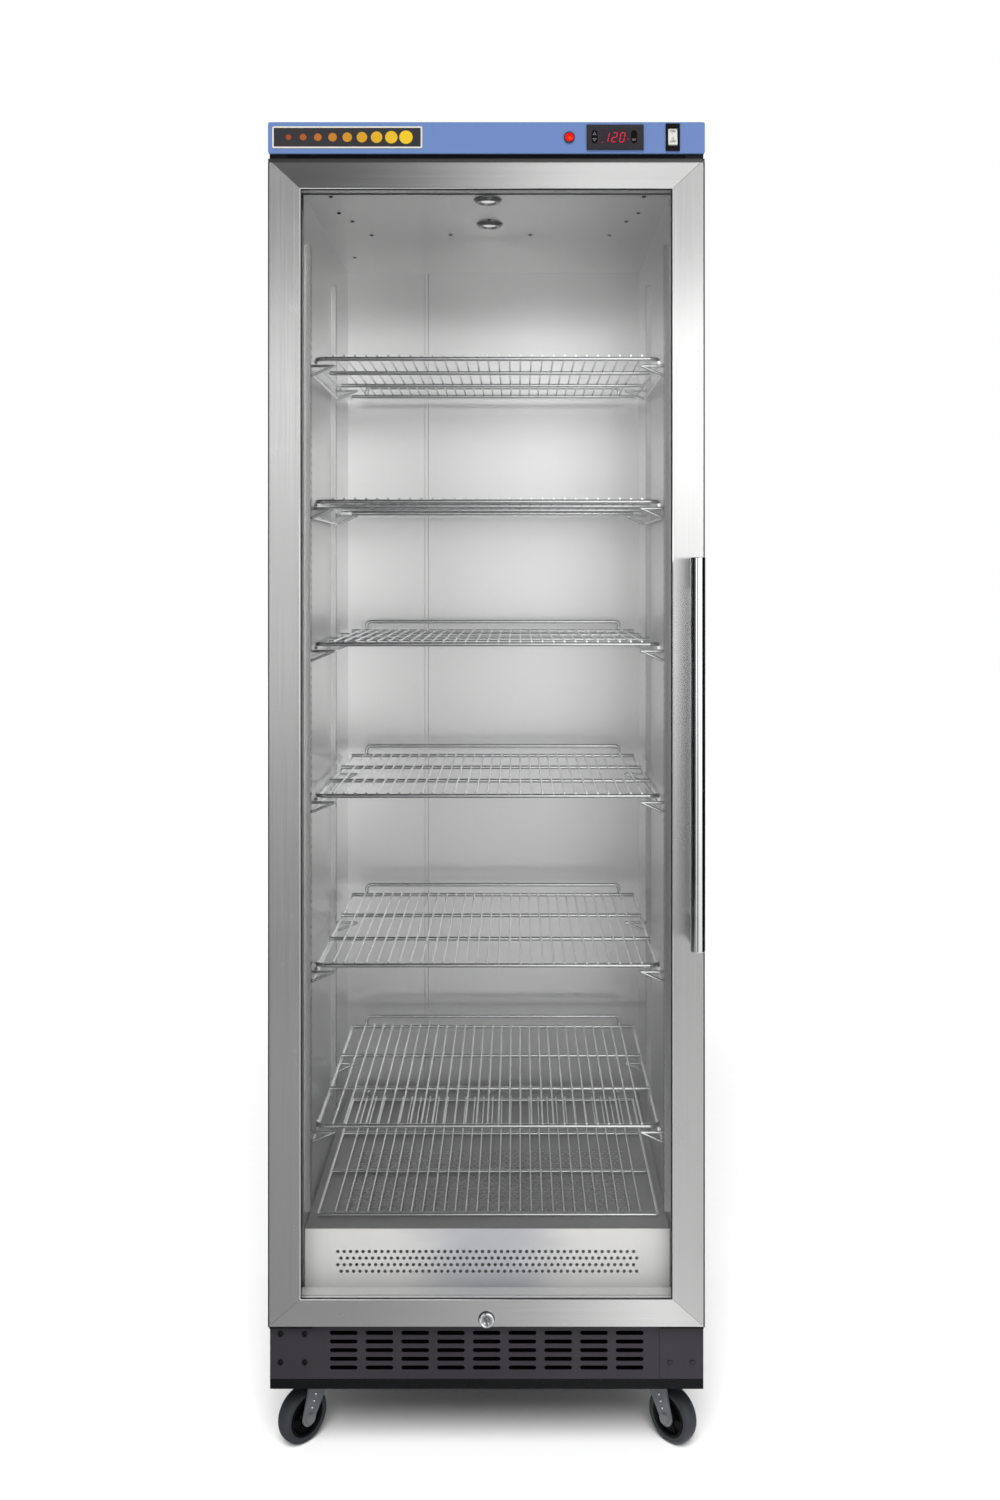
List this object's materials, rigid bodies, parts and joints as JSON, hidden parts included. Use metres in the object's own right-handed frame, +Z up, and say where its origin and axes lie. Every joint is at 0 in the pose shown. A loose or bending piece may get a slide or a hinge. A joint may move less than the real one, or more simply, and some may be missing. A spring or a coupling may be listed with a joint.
{
  "type": "blanket warming cabinet",
  "caption": "Tall stainless warming cabinet on swivel casters, with a glazed hinged door, wire shelves, a perforated heated floor and a control fascia.",
  "frame": {"origin": "bottom centre of the cabinet, on the floor", "axes": "+Z up, the door faces -Y, +X is the handle side seen from the front"},
  "size_m": [0.6, 0.66, 1.857],
  "materials": {
    "brushed_stainless": "brushed, fine grain along the panel",
    "liner_stainless": "bright annealed, soft reflections",
    "chrome_wire": "bright chrome plate",
    "polished_steel": "polished bar",
    "blue_enamel": "satin powder coat",
    "black_enamel": "satin black powder coat",
    "base_enamel": "coarse textured black powder coat",
    "label_print": null,
    "black_plastic": "fine moulded texture",
    "key_rubber": "matte key",
    "display_window": "smoked window over red digits",
    "red_lens": "translucent red lens",
    "lamp_lens": "frosted lens, lit from inside",
    "ivory_plastic": "rocker with ON and OFF",
    "glass": "clear toughened glass",
    "spacer_black": "dark edge band",
    "seal_rubber": "soft magnetic seal",
    "nylon": "moulded bushing",
    "mineral_wool": "insulation slab",
    "zinc_steel": "zinc plated stamping",
    "caster_steel": "grey stamped fork",
    "tyre_rubber": "dark grey tread",
    "heater_steel": "heat tinted tube",
    "screw_steel": "screw and rivet heads"
  },
  "bodies": {
    "cabinet": {"outer_panels": "brushed_stainless", "back_panel": "brushed_stainless", "insulation": "mineral_wool", "liner_panels": "liner_stainless", "front_frame": "brushed_stainless", "base_tray": "base_enamel", "kick_panels": "black_enamel", "hinge_brackets": "black_enamel", "control_fascia": "blue_enamel", "label_plate": "label_print", "indicator_bezel": "black_plastic", "indicator_lens": "red_lens", "controller_housing": "black_plastic", "controller_window": "display_window", "switch_frame": "black_plastic", "ceiling_light_rims": "polished_steel", "ceiling_light_lenses": "lamp_lens", "shelf_standards": "liner_stainless", "shelf_supports": "chrome_wire", "floor_cover": "liner_stainless", "heater_element": "heater_steel", "fan_frame": "black_plastic", "temperature_probe": "polished_steel", "terminal_box": "zinc_steel", "cord_gland": "black_plastic", "fasteners": "screw_steel", "caster_mounts": "zinc_steel"},
    "door": {"door_stiles": "brushed_stainless", "door_rails": "brushed_stainless", "outer_glass": "glass", "inner_glass": "glass", "glass_spacer": "spacer_black", "glazing_beads": "spacer_black", "door_gasket": "seal_rubber", "handle_bar": "polished_steel", "handle_brackets": "polished_steel", "hinge_bushings": "nylon", "lock_housing": "polished_steel"},
    "lock_plug": {"lock_plug": "polished_steel"},
    "switch_rocker": {"switch_rocker": "ivory_plastic"},
    "up_key": {"up_key": "key_rubber"},
    "down_key": {"down_key": "key_rubber"},
    "set_key": {"set_key": "key_rubber"},
    "fan_rotor": {"fan_rotor": "black_plastic"},
    "floor_rack": {"floor_rack": "chrome_wire"},
    "shelf_1": {"shelf_1": "chrome_wire"},
    "shelf_2": {"shelf_2": "chrome_wire"},
    "shelf_3": {"shelf_3": "chrome_wire"},
    "shelf_4": {"shelf_4": "chrome_wire"},
    "shelf_5": {"shelf_5": "chrome_wire"},
    "shelf_6": {"shelf_6": "chrome_wire"},
    "caster_fork_front_left": {"caster_fork_front_left": "caster_steel"},
    "caster_wheel_front_left": {"caster_wheel_front_left": "tyre_rubber"},
    "caster_fork_front_right": {"caster_fork_front_right": "caster_steel"},
    "caster_wheel_front_right": {"caster_wheel_front_right": "tyre_rubber"},
    "caster_fork_rear_left": {"caster_fork_rear_left": "caster_steel"},
    "caster_wheel_rear_left": {"caster_wheel_rear_left": "tyre_rubber"},
    "caster_fork_rear_right": {"caster_fork_rear_right": "caster_steel"},
    "caster_wheel_rear_right": {"caster_wheel_rear_right": "tyre_rubber"}
  },
  "joints": [
    {"name": "door_hinge", "type": "hinge", "parent": "cabinet", "child": "door", "pos_m": [-0.291, -0.256, 1], "axis": [0, 0, -1], "range_deg": [0, 110]},
    {"name": "lock_turn", "type": "hinge", "parent": "door", "child": "lock_plug", "pos_m": [0, -0.275, 0.213], "axis": [0, -1, 0], "range_deg": [0, 90]},
    {"name": "switch_rock", "type": "hinge", "parent": "cabinet", "child": "switch_rocker", "pos_m": [0.2558, -0.273, 1.836], "axis": [1, 0, 0], "range_deg": [0, 16]},
    {"name": "up_key_press", "type": "slide", "parent": "cabinet", "child": "up_key", "axis": [0, 1, 0], "range_m": [0, 0.0008], "stiffness_N_per_m": 1500},
    {"name": "down_key_press", "type": "slide", "parent": "cabinet", "child": "down_key", "axis": [0, 1, 0], "range_m": [0, 0.0008], "stiffness_N_per_m": 1500},
    {"name": "set_key_press", "type": "slide", "parent": "cabinet", "child": "set_key", "axis": [0, 1, 0], "range_m": [0, 0.0008], "stiffness_N_per_m": 1500},
    {"name": "fan_spin", "type": "hinge", "parent": "cabinet", "child": "fan_rotor", "pos_m": [0, 0.165, 0.248], "axis": [0, 0, 1], "continuous": true},
    {"name": "shelf_1_lift", "type": "slide", "parent": "cabinet", "child": "shelf_1", "axis": [0, 0, 1], "range_m": [0, 0.01]},
    {"name": "shelf_2_lift", "type": "slide", "parent": "cabinet", "child": "shelf_2", "axis": [0, 0, 1], "range_m": [0, 0.01]},
    {"name": "shelf_3_lift", "type": "slide", "parent": "cabinet", "child": "shelf_3", "axis": [0, 0, 1], "range_m": [0, 0.01]},
    {"name": "shelf_4_lift", "type": "slide", "parent": "cabinet", "child": "shelf_4", "axis": [0, 0, 1], "range_m": [0, 0.01]},
    {"name": "shelf_5_lift", "type": "slide", "parent": "cabinet", "child": "shelf_5", "axis": [0, 0, 1], "range_m": [0, 0.01]},
    {"name": "shelf_6_lift", "type": "slide", "parent": "cabinet", "child": "shelf_6", "axis": [0, 0, 1], "range_m": [0, 0.01]},
    {"name": "floor_rack_lift", "type": "slide", "parent": "cabinet", "child": "floor_rack", "axis": [0, 0, 1], "range_m": [0, 0.01]},
    {"name": "swivel_front_left", "type": "hinge", "parent": "cabinet", "child": "caster_fork_front_left", "pos_m": [-0.247, -0.182, 0.1], "axis": [0, 0, 1], "continuous": true},
    {"name": "wheel_front_left", "type": "hinge", "parent": "caster_fork_front_left", "child": "caster_wheel_front_left", "pos_m": [-0.2643, -0.20004, 0.038], "axis": [0.7218, -0.6921, 0], "continuous": true},
    {"name": "swivel_front_right", "type": "hinge", "parent": "cabinet", "child": "caster_fork_front_right", "pos_m": [0.247, -0.182, 0.1], "axis": [0, 0, 1], "continuous": true},
    {"name": "wheel_front_right", "type": "hinge", "parent": "caster_fork_front_right", "child": "caster_wheel_front_right", "pos_m": [0.2643, -0.20004, 0.038], "axis": [0.7218, 0.6921, 0], "continuous": true},
    {"name": "swivel_rear_left", "type": "hinge", "parent": "cabinet", "child": "caster_fork_rear_left", "pos_m": [-0.247, 0.265, 0.1], "axis": [0, 0, 1], "continuous": true},
    {"name": "wheel_rear_left", "type": "hinge", "parent": "caster_fork_rear_left", "child": "caster_wheel_rear_left", "pos_m": [-0.2643, 0.28304, 0.038], "axis": [-0.7218, -0.6921, 0], "continuous": true},
    {"name": "swivel_rear_right", "type": "hinge", "parent": "cabinet", "child": "caster_fork_rear_right", "pos_m": [0.247, 0.265, 0.1], "axis": [0, 0, 1], "continuous": true},
    {"name": "wheel_rear_right", "type": "hinge", "parent": "caster_fork_rear_right", "child": "caster_wheel_rear_right", "pos_m": [0.2643, 0.28304, 0.038], "axis": [-0.7218, 0.6921, 0], "continuous": true}
  ]
}
